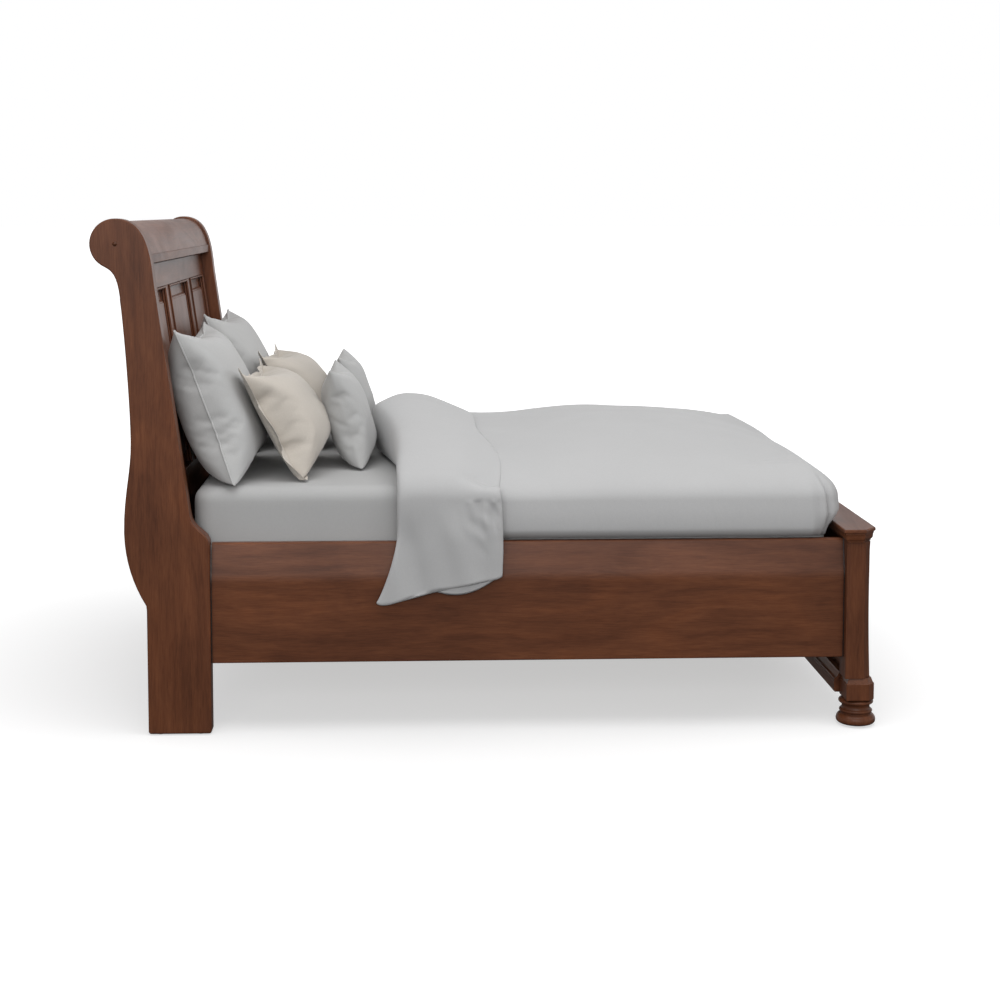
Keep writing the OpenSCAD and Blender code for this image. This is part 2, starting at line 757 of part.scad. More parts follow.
// Places a pillow's lower edge at [x, z] and tips it back
module leaning_pillow(x, z, y, tilt) {
  translate([x, y, z]) rotate([0, -tilt, 0]) children();
}

pillow_z = mattress_top + 4;
sham_y = 400;
flanged_y = 350;
small_y = 217;

module sham(side) {
  color(grey_cloth) leaning_pillow(head_x + 434, pillow_z, side * sham_y, 20)
    pillow(700, 508, 104, 112);
}

module flanged_pillow(side) {
  color(beige_cloth) leaning_pillow(head_x + 656, pillow_z, side * flanged_y, 28)
    pillow(670, 425, 112, 56);
}

module small_pillow(side) {
  color(white_cloth) leaning_pillow(head_x + 800, pillow_z, side * small_y, 13)
    pillow(424, 366, 88, 58);
}

// ---------- nodes ----------

headboard_leg(false);  // headboard_leg_left
headboard_leg(true);  // headboard_leg_right
headboard_roll();
crest_moulding();
headboard_top_rail();
headboard_mid_rail();
headboard_lower_panel();
headboard_bottom_rail();
headboard_stile(false);  // headboard_stile_left
headboard_stile(true);  // headboard_stile_right
headboard_mullions();
headboard_panel(0);  // headboard_panel_left
headboard_panel(1);  // headboard_panel_centre
headboard_panel(2);  // headboard_panel_right
headboard_panel_mouldings();
roll_plugs();
headboard_glides();
footboard_post(false);  // footboard_post_left
footboard_post(true);  // footboard_post_right
foot_plinth(false);  // foot_plinth_left
foot_plinth(true);  // foot_plinth_right
bun_foot(false);  // bun_foot_left
bun_foot(true);  // bun_foot_right
footboard_cap();
footboard_cove();
footboard_top_rail();
footboard_bottom_rail();
footboard_base_rail();
footboard_mullions();
footboard_panel(0);  // footboard_panel_left
footboard_panel(1);  // footboard_panel_centre
footboard_panel(2);  // footboard_panel_right
footboard_panel_mouldings();
bun_foot_glides();
side_rail(false);  // side_rail_left
side_rail(true);  // side_rail_right
ledger(false);  // ledger_left
ledger(true);  // ledger_right
slats();
centre_beam();
centre_beam_brackets();
rail_hook_plates();
post_slot_plates();
plate_screws();
ledger_screws();
slat_screws();
box_spring();
mattress();
duvet();
sham(-1);  // sham_left
sham(1);  // sham_right
flanged_pillow(-1);  // flanged_pillow_left
flanged_pillow(1);  // flanged_pillow_right
small_pillow(-1);  // small_pillow_left
small_pillow(1);  // small_pillow_right
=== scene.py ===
import math

import bpy
import numpy as np
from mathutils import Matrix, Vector, noise


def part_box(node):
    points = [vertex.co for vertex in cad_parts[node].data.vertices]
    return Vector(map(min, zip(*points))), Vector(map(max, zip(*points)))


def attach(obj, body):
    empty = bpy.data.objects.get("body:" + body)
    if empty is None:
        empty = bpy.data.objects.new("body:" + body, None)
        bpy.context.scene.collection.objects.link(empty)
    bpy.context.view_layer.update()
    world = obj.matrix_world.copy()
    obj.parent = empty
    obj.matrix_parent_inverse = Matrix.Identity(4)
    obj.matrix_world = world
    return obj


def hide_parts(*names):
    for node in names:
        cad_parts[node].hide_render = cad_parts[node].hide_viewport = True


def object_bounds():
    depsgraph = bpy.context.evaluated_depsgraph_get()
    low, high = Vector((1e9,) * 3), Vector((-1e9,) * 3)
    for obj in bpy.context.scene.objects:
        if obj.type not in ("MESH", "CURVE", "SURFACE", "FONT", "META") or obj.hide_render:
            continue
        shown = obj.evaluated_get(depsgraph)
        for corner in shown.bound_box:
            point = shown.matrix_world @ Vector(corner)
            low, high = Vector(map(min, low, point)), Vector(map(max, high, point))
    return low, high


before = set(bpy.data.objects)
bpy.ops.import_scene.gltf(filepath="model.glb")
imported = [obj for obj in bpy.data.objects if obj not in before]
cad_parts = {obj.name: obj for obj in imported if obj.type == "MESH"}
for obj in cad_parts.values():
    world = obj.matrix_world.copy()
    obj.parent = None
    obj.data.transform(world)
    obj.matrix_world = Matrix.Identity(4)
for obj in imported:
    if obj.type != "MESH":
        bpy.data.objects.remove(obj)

CAD_LOW, CAD_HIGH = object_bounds()

scene = bpy.context.scene

# ---------- sizes taken from the frame, in metres ----------

MATTRESS_LOW, MATTRESS_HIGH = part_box("mattress")
SPRING_LOW, SPRING_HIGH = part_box("box_spring")
DUVET_LOW, DUVET_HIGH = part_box("duvet")
RAIL_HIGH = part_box("side_rail_right")[1]
HALF_WIDTH = MATTRESS_HIGH.y
SLEEP_TOP = MATTRESS_HIGH.z
RAIL_TOP = RAIL_HIGH.z
RAIL_OUTSIDE = RAIL_HIGH.y + 0.002      # just clear of the rails' outer faces


def grey(level):
    """Colour whose three parts are the same."""
    return (level,) * 3


# ---------- camera, lights and floor ----------

def make_camera():
    """Looks at the bed's left side from just above the height of the roll, turned a little to the foot."""
    data = bpy.data.cameras.new("camera")
    camera = bpy.data.objects.new("camera", data)
    scene.collection.objects.link(camera)
    distance, to_head, above_roll = 5.415, 0.239, 0.029
    camera.location = (-to_head, CAD_LOW.y - distance, CAD_HIGH.z + above_roll)
    pitch, yaw = math.radians(4.60), math.radians(2.343)
    camera.rotation_euler = (math.pi / 2 - pitch, 0, -yaw)
    data.lens = 63.07
    data.shift_x = 0.0138
    data.shift_y = -0.15
    scene.camera = camera


def area_light(name, place, target, size, power):
    """Rectangular light at place that faces target and isn't seen itself."""
    data = bpy.data.lights.new(name, "AREA")
    data.shape = "RECTANGLE"
    data.size, data.size_y = size
    data.energy = power
    light = bpy.data.objects.new(name, data)
    scene.collection.objects.link(light)
    light.location = place
    aim = Vector(target) - Vector(place)
    light.rotation_euler = aim.to_track_quat("-Z", "Y").to_euler()
    light.visible_camera = False


def make_world():
    """Surroundings that are white round the horizon, grey overhead and dark below."""
    world = bpy.data.worlds.new("studio")
    world.use_nodes = True
    tree = world.node_tree
    coords = tree.nodes.new("ShaderNodeTexCoord")
    split = tree.nodes.new("ShaderNodeSeparateXYZ")
    raised = tree.nodes.new("ShaderNodeMath")
    raised.inputs[1].default_value = 0.5
    ramp = tree.nodes.new("ShaderNodeValToRGB")
    tree.links.new(coords.outputs["Generated"], split.inputs[0])
    tree.links.new(split.outputs["Z"], raised.inputs[0])
    tree.links.new(raised.outputs[0], ramp.inputs["Fac"])
    tree.links.new(ramp.outputs["Color"], tree.nodes["Background"].inputs["Color"])
    stops = [(0.40, 0.10), (0.46, 1.0), (0.64, 1.0), (0.80, 0.44)]
    points = ramp.color_ramp.elements
    while len(points) < len(stops):
        points.new(0.5)
    for point, (position, level) in zip(points, stops):
        point.position = position
        point.color = (level, level, level * 1.01, 1)
    scene.world = world


def make_floor():
    """Pale floor that glows a little, more with its distance, and doesn't light the bed."""
    width = 300
    bpy.ops.mesh.primitive_plane_add(size=width)
    floor = bpy.context.object
    floor.name = "floor"
    floor.visible_diffuse = False
    floor.visible_glossy = False
    pale = Nodes("floor")
    pale.set(Roughness=0.9, Specular_IOR_Level=0.1, Emission_Strength=1.0)
    mottle = pale.noise(pale.coords, 0.7)
    pale.link("Base Color", pale.ramp(mottle, [(0.3, grey(0.50)), (0.7, grey(0.52))]))
    tenth = pale.scaled((0.1, 0.1, 0.1))
    reach = pale.add("ShaderNodeVectorMath", {0: tenth}, operation="LENGTH").outputs["Value"]
    pale.link("Emission Color", pale.ramp(reach, [(0.10, grey(0.50)), (0.40, grey(1.0))]))
    floor.data.materials.append(pale.material)


def make_studio():
    """White surroundings, a large soft light overhead and a low one behind the camera."""
    make_world()
    scene.view_settings.view_transform = "Standard"
    area_light("overhead", (0.4, -1.4, 4.5), (0.1, 0.0, 0.6), (4.6, 3.6), 122)
    area_light("gloss", (-0.6, -8.4, 3.2), (-0.2, 0.0, 0.9), (6.5, 2.0), 205)
    make_floor()


# ---------- materials ----------

class Nodes:
    """Short calls for building one material out of shader nodes."""

    def __init__(self, name):
        self.material = bpy.data.materials.new(name)
        self.material.use_nodes = True
        self.tree = self.material.node_tree
        self.shader = self.tree.nodes["Principled BSDF"]
        self.coords = self.tree.nodes.new("ShaderNodeTexCoord").outputs["Object"]

    def add(self, kind, inputs, **settings):
        node = self.tree.nodes.new(kind)
        for key, value in settings.items():
            setattr(node, key, value)
        for key, value in inputs.items():
            if isinstance(value, bpy.types.NodeSocket):
                self.tree.links.new(value, node.inputs[key])
            else:
                node.inputs[key].default_value = value
        return node

    def scaled(self, scale, vector=None):
        return self.add("ShaderNodeMapping", {
            "Vector": vector or self.coords, "Scale": scale}).outputs[0]

    def noise(self, vector, scale, detail=3.0, roughness=0.5, distortion=0.0):
        return self.add("ShaderNodeTexNoise", {
            "Vector": vector, "Scale": scale, "Detail": detail,
            "Roughness": roughness, "Distortion": distortion}).outputs["Fac"]

    def wave(self, vector, scale, direction):
        return self.add("ShaderNodeTexWave", {
            "Vector": vector, "Scale": scale}, bands_direction=direction).outputs["Fac"]

    def ramp(self, value, stops):
        node = self.add("ShaderNodeValToRGB", {"Fac": value})
        points = node.color_ramp.elements
        while len(points) < len(stops):
            points.new(0.5)
        for point, (position, colour) in zip(points, stops):
            point.position = position
            point.color = (*colour, 1)
        return node.outputs["Color"]

    def math(self, operation, a, b):
        return self.add("ShaderNodeMath", {0: a, 1: b}, operation=operation).outputs[0]

    def mix(self, share, a, b, blend="MIX"):
        node = self.add("ShaderNodeMix", {"Factor": share}, data_type="RGBA", blend_type=blend)
        for socket, value in (("A", a), ("B", b)):
            target = [s for s in node.inputs if s.name == socket and s.type == "RGBA"][0]
            if isinstance(value, bpy.types.NodeSocket):
                self.tree.links.new(value, target)
            else:
                target.default_value = (*value, 1)
        return [s for s in node.outputs if s.type == "RGBA"][0]

    def bump(self, height, distance, normal=None, strength=1.0):
        inputs = {"Height": height, "Distance": distance, "Strength": strength}
        if normal:
            inputs["Normal"] = normal
        return self.add("ShaderNodeBump", inputs).outputs[0]

    def link(self, name, socket):
        self.tree.links.new(socket, self.shader.inputs[name])

    def set(self, **values):
        for name, value in values.items():
            self.shader.inputs[name.replace("_", " ")].default_value = value


def stained_wood(name, grain, tone=1.0):
    """Cherry-stained hardwood: streaks and pores along one axis, blotches of stain, a satin lacquer, and
    painted shade in its corners.

    grain is the axis that the board's grain runs along, 0 for X, 1 for Y and 2 for Z. tone scales its colour.
    """
    n = Nodes(name)
    streak, pore, blotch = [1.0] * 3, [1.0] * 3, [1.0] * 3
    streak[grain], pore[grain], blotch[grain] = 0.09, 0.035, 0.30
    warp = n.noise(n.coords, 2.1, 2.0)
    sway = n.ramp(warp, [(0.0, grey(-0.05)), (1.0, grey(0.05))])
    swayed = n.add("ShaderNodeVectorMath", {0: n.coords, 1: sway}, operation="ADD").outputs[0]
    streaks = n.noise(n.scaled(streak, swayed), 34.0, 5.0, 0.62, 0.6)
    patches = n.noise(n.scaled(blotch, swayed), 7.5, 4.0, 0.6, 0.9)
    cloudy = n.noise(n.coords, 1.9, 3.0, 0.55)
    pores = n.noise(n.scaled(pore), 520.0, 2.0, 0.7)
    colour = n.ramp(streaks, [
        (0.30, (0.100 * tone, 0.0330 * tone, 0.0142 * tone)),
        (0.50, (0.132 * tone, 0.0450 * tone, 0.0192 * tone)),
        (0.72, (0.164 * tone, 0.0575 * tone, 0.0245 * tone))])
    shade = n.ramp(patches, [
        (0.34, (0.80, 0.77, 0.75)),
        (0.52, grey(1.0)),
        (0.70, (1.16, 1.15, 1.12))])
    clouds = n.ramp(cloudy, [(0.3, (0.86, 0.85, 0.85)), (0.7, (1.12, 1.12, 1.12))])
    grain_lines = n.ramp(pores, [(0.40, (0.70, 0.66, 0.64)), (0.56, grey(1.0))])
    colour = n.mix(1.0, colour, shade, "MULTIPLY")
    colour = n.mix(1.0, colour, clouds, "MULTIPLY")
    colour = n.mix(0.7, colour, grain_lines, "MULTIPLY")
    # Painted shade: ambient occlusion darkens the base colour in corners and crevices.
    corner = n.add("ShaderNodeAmbientOcclusion", {"Distance": 0.02}, samples=6)
    dark = n.ramp(corner.outputs["AO"], [(0.35, (0.42, 0.38, 0.36)), (0.85, grey(1.0))])
    n.link("Base Color", n.mix(1.0, colour, dark, "MULTIPLY"))
    n.link("Roughness", n.ramp(patches, [(0.3, grey(0.40)), (0.7, grey(0.32))]))
    eased = n.add("ShaderNodeBevel", {"Radius": 0.0022}, samples=4).outputs[0]
    n.link("Normal", n.bump(n.math("ADD", pores, streaks), 0.00025, eased, 0.6))
    n.set(Specular_IOR_Level=0.22, Coat_Weight=0.03, Coat_Roughness=0.28)
    return n.material


def plain_wood(name, grain, light, dark):
    """Unfinished board with fine growth rings. grain is the axis that they run along."""
    n = Nodes(name)
    stretch = [1.0] * 3
    stretch[grain] = 0.06
    rings = n.noise(n.scaled(stretch), 48.0, 4.0, 0.6, 0.8)
    fine = n.noise(n.scaled(stretch), 300.0, 2.0)
    colour = n.ramp(rings, [(0.32, dark), (0.66, light)])
    n.link("Base Color", n.mix(0.25, colour, n.ramp(fine, [(0.3, dark), (0.7, light)])))
    n.link("Roughness", n.ramp(rings, [(0.3, grey(0.62)), (0.7, grey(0.50))]))
    n.link("Normal", n.bump(fine, 0.0003))
    return n.material


def steel(name, tone):
    """Plated steel with a faint brushed mottling. tone scales its brightness."""
    n = Nodes(name)
    cloud = n.noise(n.coords, 60.0, 4.0)
    scratch = n.noise(n.scaled((0.1, 1.0, 1.0)), 900.0, 2.0)
    n.link("Base Color", n.ramp(cloud, [(0.3, grey(0.42 * tone)), (0.7, grey(0.56 * tone))]))
    n.link("Roughness", n.ramp(scratch, [(0.3, grey(0.30)), (0.7, grey(0.44))]))
    n.link("Normal", n.bump(scratch, 0.00004))
    n.set(Metallic=1.0)
    return n.material


def moulded_plastic(name):
    """Nearly black plastic with a fine grain."""
    n = Nodes(name)
    speck = n.noise(n.coords, 700.0, 2.0)
    cloud = n.noise(n.coords, 40.0)
    n.link("Base Color", n.ramp(cloud, [(0.3, (0.03, 0.028, 0.026)), (0.7, (0.045, 0.042, 0.04))]))
    n.link("Roughness", n.ramp(speck, [(0.3, grey(0.45)), (0.7, grey(0.58))]))
    n.link("Normal", n.bump(speck, 0.00006))
    return n.material


def cloth(name, colour, thread=0.9, slub=0.05, sheen=0.25, rumple=0.0012, stripe=None):
    """Plain-weave cloth, drawn as short streaks along each axis.

    thread is a thread's width in mm, slub the unevenness of the dye, rumple the depth of soft creases in m.
    """
    n = Nodes(name)
    noise_cell = 1.6
    count = 1000 / thread / noise_cell
    along_x = n.noise(n.scaled((0.14, 1.0, 1.0)), count, 1.0, 0.4)
    along_y = n.noise(n.scaled((1.0, 0.14, 1.0)), count, 1.0, 0.4)
    along_z = n.noise(n.scaled((1.0, 1.0, 0.14)), count, 1.0, 0.4)
    weave = n.math("ADD", n.math("ADD", along_x, along_y), along_z)
    slubs = n.noise(n.scaled((0.15, 1.0, 1.0)), 480.0, 3.0, 0.65)
    fade = n.noise(n.coords, 3.4, 3.0, 0.6)
    low = tuple(c * (1 - slub) for c in colour)
    high = tuple(min(1.0, c * (1 + slub)) for c in colour)
    tone = n.ramp(fade, [(0.32, low), (0.68, high)])
    tone = n.mix(0.35, tone, n.ramp(slubs, [(0.35, low), (0.65, high)]))
    third = 0.333
    dots = n.ramp(n.math("MULTIPLY", weave, third), [(0.38, grey(0.93)), (0.60, grey(1.04))])
    tone = n.mix(0.5, tone, dots, "MULTIPLY")
    if stripe:
        bands = n.ramp(n.wave(n.coords, 7.0, "X"), [(0.46, stripe), (0.54, grey(1.0))])
        tone = n.mix(0.8, tone, bands, "MULTIPLY")
    n.link("Base Color", tone)
    creases = n.noise(n.scaled((1.0, 1.0, 0.6)), 9.0, 4.0, 0.55, 0.7)
    soft = n.bump(creases, rumple)
    n.link("Normal", n.bump(n.math("ADD", weave, slubs), 0.00012, soft, 0.5))
    n.link("Roughness", n.ramp(slubs, [(0.3, grey(0.78)), (0.7, grey(0.90))]))
    n.set(Specular_IOR_Level=0.25, Sheen_Weight=sheen, Sheen_Roughness=0.45)
    return n.material


# ---------- mesh helpers ----------

def smoothstep(low, high, x):
    t = np.clip((np.asarray(x, float) - low) / (high - low), 0, 1)
    return t * t * (3 - 2 * t)


def new_piece(name, points, faces, material=None):
    """One smooth mesh object from points and faces."""
    mesh = bpy.data.meshes.new(name)
    mesh.from_pydata([tuple(map(float, p)) for p in points], [], faces)
    if material:
        mesh.materials.append(material)
    mesh.shade_smooth()
    mesh.update()
    obj = bpy.data.objects.new(name, mesh)
    scene.collection.objects.link(obj)
    return obj


def join_parts(parts):
    """Several (points, faces) as one."""
    points, faces, start = [], [], 0
    for part_points, part_faces in parts:
        points.extend(part_points)
        faces.extend([[i + start for i in face] for face in part_faces])
        start += len(part_points)
    return points, faces


def closed_loft(rings, close_ends=True, loop=False):
    """Skin over closed rings of points. loop joins the last ring to the first and leaves no ends."""
    count, n = len(rings), len(rings[0])
    points = [p for ring in rings for p in ring]
    faces = []
    for k in range(count if loop else count - 1):
        a, b = k * n, (k + 1) % count * n
        for i in range(n):
            j = (i + 1) % n
            faces.append([a + i, a + j, b + j, b + i])
    if close_ends and not loop:
        for k, order in ((0, 1), (count - 1, -1)):
            middle = len(points)
            points.append(np.mean(rings[k], axis=0))
            for i in range(n):
                pair = [k * n + (i + 1) % n, k * n + i][::order]
                faces.append([middle, *pair])
    return points, faces


def closed_spline(controls, samples):
    """Smooth closed curve through a few control points, with the samples shared evenly between them."""
    controls = np.asarray(controls, float)
    n = len(controls)
    at = np.linspace(0, n, samples, endpoint=False)
    k = at.astype(int)
    t = (at - k)[:, None]
    p0, p1, p2, p3 = (controls[(k + d) % n] for d in (-1, 0, 1, 2))
    return 0.5 * (2 * p1 + (p2 - p0) * t + (2 * p0 - 5 * p1 + 4 * p2 - p3) * t ** 2
                  + (3 * p1 - p0 - 3 * p2 + p3) * t ** 3)


def ripple(points, amount, scale, seed):
    """Smooth noise over the plan and height of each point."""
    shifts = []
    for x, y, z in points:
        place = Vector((x * scale + seed, y * scale, z))
        shifts.append(noise.fractal(place, 1.0, 2.0, 3) * amount)
    return np.array(shifts)


def rounded_outline(x0, y0, x1, y1, radius, step):
    """Counterclockwise rounded rectangle with points about step apart."""
    points = []
    corners = [(x1 - radius, y0 + radius, -90), (x1 - radius, y1 - radius, 0),
               (x0 + radius, y1 - radius, 90), (x0 + radius, y0 + radius, 180)]
    turns = 8
    for k, (cx, cy, start) in enumerate(corners):
        for i in range(turns + 1):
            a = math.radians(start + 90 * i / turns)
            points.append((cx + radius * math.cos(a), cy + radius * math.sin(a)))
        nx, ny, after = corners[(k + 1) % 4]
        a = math.radians(after)
        end = (nx + radius * math.cos(a), ny + radius * math.sin(a))
        last = points[-1]
        run = max(1, round(math.dist(last, end) / step))
        points.extend((last[0] + (end[0] - last[0]) * i / run, last[1] + (end[1] - last[1]) * i / run)
                      for i in range(1, run))
    return np.array(points)


def tube(path, radius):
    """Cord along a closed path."""
    sides = 8
    path = np.asarray(path)
    ahead = np.roll(path, -1, 0) - np.roll(path, 1, 0)
    ahead /= np.linalg.norm(ahead, axis=1)[:, None]
    centre = path.mean(0)
    outward = path - centre
    outward -= ahead * (outward * ahead).sum(1)[:, None]
    outward /= np.linalg.norm(outward, axis=1)[:, None]
    aside = np.cross(ahead, outward)
    angles = np.linspace(0, 2 * math.pi, sides, endpoint=False)
    rings = [[p + radius * (math.cos(a) * o + math.sin(a) * s) for a in angles]
             for p, o, s in zip(path, outward, aside)]
    return closed_loft(rings, loop=True)


def finish_padded(obj, node):
    """Puts a padded piece on the body of the CAD node it stands for, and hides that node."""
    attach(obj, node)
    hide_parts(node)


# ---------- simulation ----------

def inflate(points, faces, pressure, frames):
    """Swells a closed cloth case by air pressure and returns its points after so many frames."""
    obj = new_piece("case", points, faces)
    swell = obj.modifiers.new("cloth", "CLOTH")
    settings = swell.settings
    settings.quality = 5
    settings.tension_stiffness = settings.compression_stiffness = 15
    settings.shear_stiffness = 5
    settings.bending_stiffness = 0.5
    settings.use_pressure = True
    settings.uniform_pressure_force = pressure
    settings.effector_weights.gravity = 0
    swell.point_cache.frame_start = 1
    swell.point_cache.frame_end = frames
    for frame_number in range(1, frames + 1):
        scene.frame_set(frame_number)
    shaped = obj.evaluated_get(bpy.context.evaluated_depsgraph_get())
    mesh = shaped.to_mesh()
    co = np.empty(len(mesh.vertices) * 3)
    mesh.vertices.foreach_get("co", co)
    shaped.to_mesh_clear()
    scene.frame_set(1)
    bpy.data.objects.remove(obj)
    return co.reshape(-1, 3)


# ---------- pillows ----------

CASE_CELL = 0.0125       # mesh size of a pillow case
CASE_RISE = 0.028        # how far its two sheets stand apart before they are blown up
PRESSURE = 4.0
PIPING_RADIUS = 0.0038
FLANGE_WIDTH = 0.031
FLANGE_THICK = 0.0035


def flat_case(width, height, seed):
    """Two sheets in the X-Y plane, sewn together round their edge and a little apart inside it.

    Returns the points, the faces and the indices of the points along the sewn edge.
    """
    nu, nv = round(width / CASE_CELL) + 1, round(height / CASE_CELL) + 1
    points, faces, front, back = [], [], {}, {}
    for j in range(nv):
        for i in range(nu):
            u, v = i / (nu - 1) - 0.5, j / (nv - 1) - 0.5
            rise = CASE_RISE * math.cos(math.pi * u) * math.cos(math.pi * v)
            rise *= 1 + 0.5 * noise.noise(Vector((u * 5 + seed, v * 5, 0.3)))
            front[i, j] = back[i, j] = len(points)
            points.append((u * width, v * height, rise))
            if 0 < i < nu - 1 and 0 < j < nv - 1:
                back[i, j] = len(points)
                points.append((u * width, v * height, -rise))
    for j in range(nv - 1):
        for i in range(nu - 1):
            corners = [(i, j), (i + 1, j), (i + 1, j + 1), (i, j + 1)]
            faces.append([front[c] for c in corners])
            faces.append([back[c] for c in reversed(corners)])
    rim = [front[i, 0] for i in range(nu - 1)] + [front[nu - 1, j] for j in range(nv - 1)]
    rim += [front[i, nv - 1] for i in range(nu - 1, 0, -1)] + [front[0, j] for j in range(nv - 1, 0, -1)]
    return np.array(points), faces, rim


def flange(rim_points):
    """Flat sewn border outside a pillow's rim, bent forwards where the pillow stands on it."""
    path = np.asarray(rim_points)
    ahead = np.roll(path, -2, 0) - np.roll(path, 2, 0)
    outward = np.stack([ahead[:, 1], -ahead[:, 0], np.zeros(len(path))], 1)
    outward /= np.linalg.norm(outward, axis=1)[:, None]
    for _ in range(2):
        outward = (np.roll(outward, 1, 0) + outward * 2 + np.roll(outward, -1, 0)) / 4
    low = path[:, 1].min()
    bent = 1 - smoothstep(low + 0.01, low + 0.09, path[:, 1])
    bent[np.abs(path[:, 0]) > np.abs(path[:, 0]).max() * 0.94] *= 0.7
    outward = outward * (1 - 0.85 * bent)[:, None] + np.array([0, 0, 1.0]) * (0.9 * bent)[:, None]
    upper = [(-0.15, 0.2), (0.1, 0.35), (0.3, 0.5), (0.9, 0.5), (1.0, 0.2)]
    section = upper + [(share, -half) for share, half in reversed(upper)]
    rings = []
    for k, (p, out) in enumerate(zip(path, outward)):
        wave = 0.007 * math.sin(k * 0.33) + 0.006 * math.sin(k * 0.117 + 1.0)
        side = np.array([0, 0, 1.0]) * (1 - bent[k]) + np.array([0, 1.0, 0]) * bent[k]
        ring = []
        for share, half in section:
            rise = wave * max(share, 0) + FLANGE_THICK * half
            ring.append(p + out * FLANGE_WIDTH * share + side * rise)
        rings.append(ring)
    return closed_loft(rings, loop=True)


def lean(points, tilt, skew):
    """Stands a pillow made in the X-Y plane on its long edge: width along Y, front towards +X.

    tilt tips it back by so many degrees, and skew slopes its top down towards +Y.
    """
    across, up, front = points[:, 0], points[:, 1], points[:, 2]
    up = up - points[:, 1].min()
    height = up.max()
    up = up - skew * across * up / height
    a = math.radians(tilt)
    forwards = front * math.cos(a) - up * math.sin(a)
    upwards = front * math.sin(a) + up * math.cos(a)
    return np.stack([forwards, across, upwards], 1)


def settle_on(points, floor_z):
    """Flattens what would sink below floor_z, with a soft edge to the flat."""
    softness = 0.02
    z = points[:, 2] - floor_z
    pressed = softness * np.exp(np.clip(z / softness - 1, -9, 0))
    points[:, 2] = floor_z + np.where(z > softness, z, pressed)


def make_pillow(node, style, tilt, material, seed):
    """Cloth case blown up by simulation, then sized, leaned and set down where its CAD solid is."""
    low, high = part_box(node)
    points, faces, rim = flat_case(*style["cut"], seed)
    points = inflate(points, faces, PRESSURE, style["frames"])
    sizes = points.max(0) - points.min(0)
    middle = (points.max(0) + points.min(0)) / 2
    points = (points - middle) * (np.array(style["size"]) / sizes)
    sag = 0.22 * (0.1 - points[:, 1] / style["size"][1])
    points[:, 2] *= 1 + sag
    points[:, 2] *= np.where(points[:, 2] < 0, style["back"], 2 - style["back"])

    parts = [(points, faces)]
    if style["edge"] == "piping":
        parts.append(tube(points[rim], PIPING_RADIUS))
    if style["edge"] == "flange":
        parts.append(flange(points[rim]))
    points, faces = join_parts(parts)
    points = lean(np.array(points), tilt, style["skew"])
    middle = (points.max(0) + points.min(0)) / 2
    weight_sink, sheet_gap = 0.010, 0.003
    points[:, 0] += (low.x + high.x) / 2 - middle[0]
    points[:, 1] += (low.y + high.y) / 2 - middle[1]
    points[:, 2] += SLEEP_TOP - weight_sink - points[:, 2].min()
    settle_on(points, SLEEP_TOP + sheet_gap)
    obj = new_piece(node + "_cushion", points, faces, material)
    smooth = obj.modifiers.new("smooth", "SUBSURF")
    smooth.levels = smooth.render_levels = 1
    finish_padded(obj, node)


# ---------- box spring and mattress ----------

def rounded_block(low, high, corner, edge, step, bulge):
    """Rings of an upholstered block from its bottom to the middle of its top.

    corner is the radius of its plan's corners, edge that of its rolled edges and bulge its sides' fullness.
    """
    outline = rounded_outline(low[0], low[1], high[0], high[1], corner, step)
    centre = np.array([(low[0] + high[0]) / 2, (low[1] + high[1]) / 2])
    half = np.array([(high[0] - low[0]) / 2, (high[1] - low[1]) / 2])

    def ring(inset, z):
        shrunk = centre + (outline - centre) * (1 - inset / half)
        return np.column_stack([shrunk, np.full(len(outline), z)])

    rings = []
    turns = 6
    for i in range(turns + 1):
        a = math.pi / 2 * i / turns
        rings.append(ring(edge * (1 - math.sin(a)), low[2] + edge * (1 - math.cos(a))))
    for t in np.linspace(0, 1, 12)[1:-1]:
        z = low[2] + edge + (high[2] - low[2] - 2 * edge) * t
        rings.append(ring(-bulge * math.sin(math.pi * t), z))
    for i in range(turns + 1):
        a = math.pi / 2 * i / turns
        rings.append(ring(edge * (1 - math.cos(a)), high[2] - edge * (1 - math.sin(a))))
    for inset in np.geomspace(edge * 1.6, half.min() * 0.97, 16):
        rings.append(ring(inset, high[2]))
    return rings


def level_outline(low, high, corner, z):
    """Rounded rectangle at one height, for a cord."""
    path = rounded_outline(low[0], low[1], high[0], high[1], corner, 0.03)
    return np.column_stack([path, np.full(len(path), z)])


def make_box_spring(materials):
    """Box spring in ticking, with a corded seam round its top and bottom edges."""
    low, high = np.array(SPRING_LOW), np.array(SPRING_HIGH)
    margin, corner, edge, cord = 0.004, 0.04, 0.012, 0.0035
    low[:2] += margin
    high[:2] -= margin
    parts = [closed_loft(rounded_block(low, high, corner, edge, 0.04, bulge=0.002))]
    for z in (low[2] + edge, high[2] - edge):
        parts.append(tube(level_outline(low, high, corner, z), cord))
    points, faces = join_parts(parts)
    obj = new_piece("box_spring_upholstered", points, faces, materials["ticking"])
    finish_padded(obj, "box_spring")


def make_mattress(materials):
    """Mattress in ticking, with a corded seam round its lower edge."""
    low, high = np.array(MATTRESS_LOW), np.array(MATTRESS_HIGH)
    margin, corner, edge, cord = 0.004, 0.058, 0.044, 0.003
    low[:2] += margin
    high[:2] -= margin
    high[2] -= 0.003
    parts = [closed_loft(rounded_block(low, high, corner, edge, 0.03, bulge=0.0))]
    parts.append(tube(level_outline(low, high, corner, low[2] + edge + 0.002), cord))
    points, faces = join_parts(parts)
    core = new_piece("mattress_core", points, faces, materials["ticking"])
    finish_padded(core, "mattress")


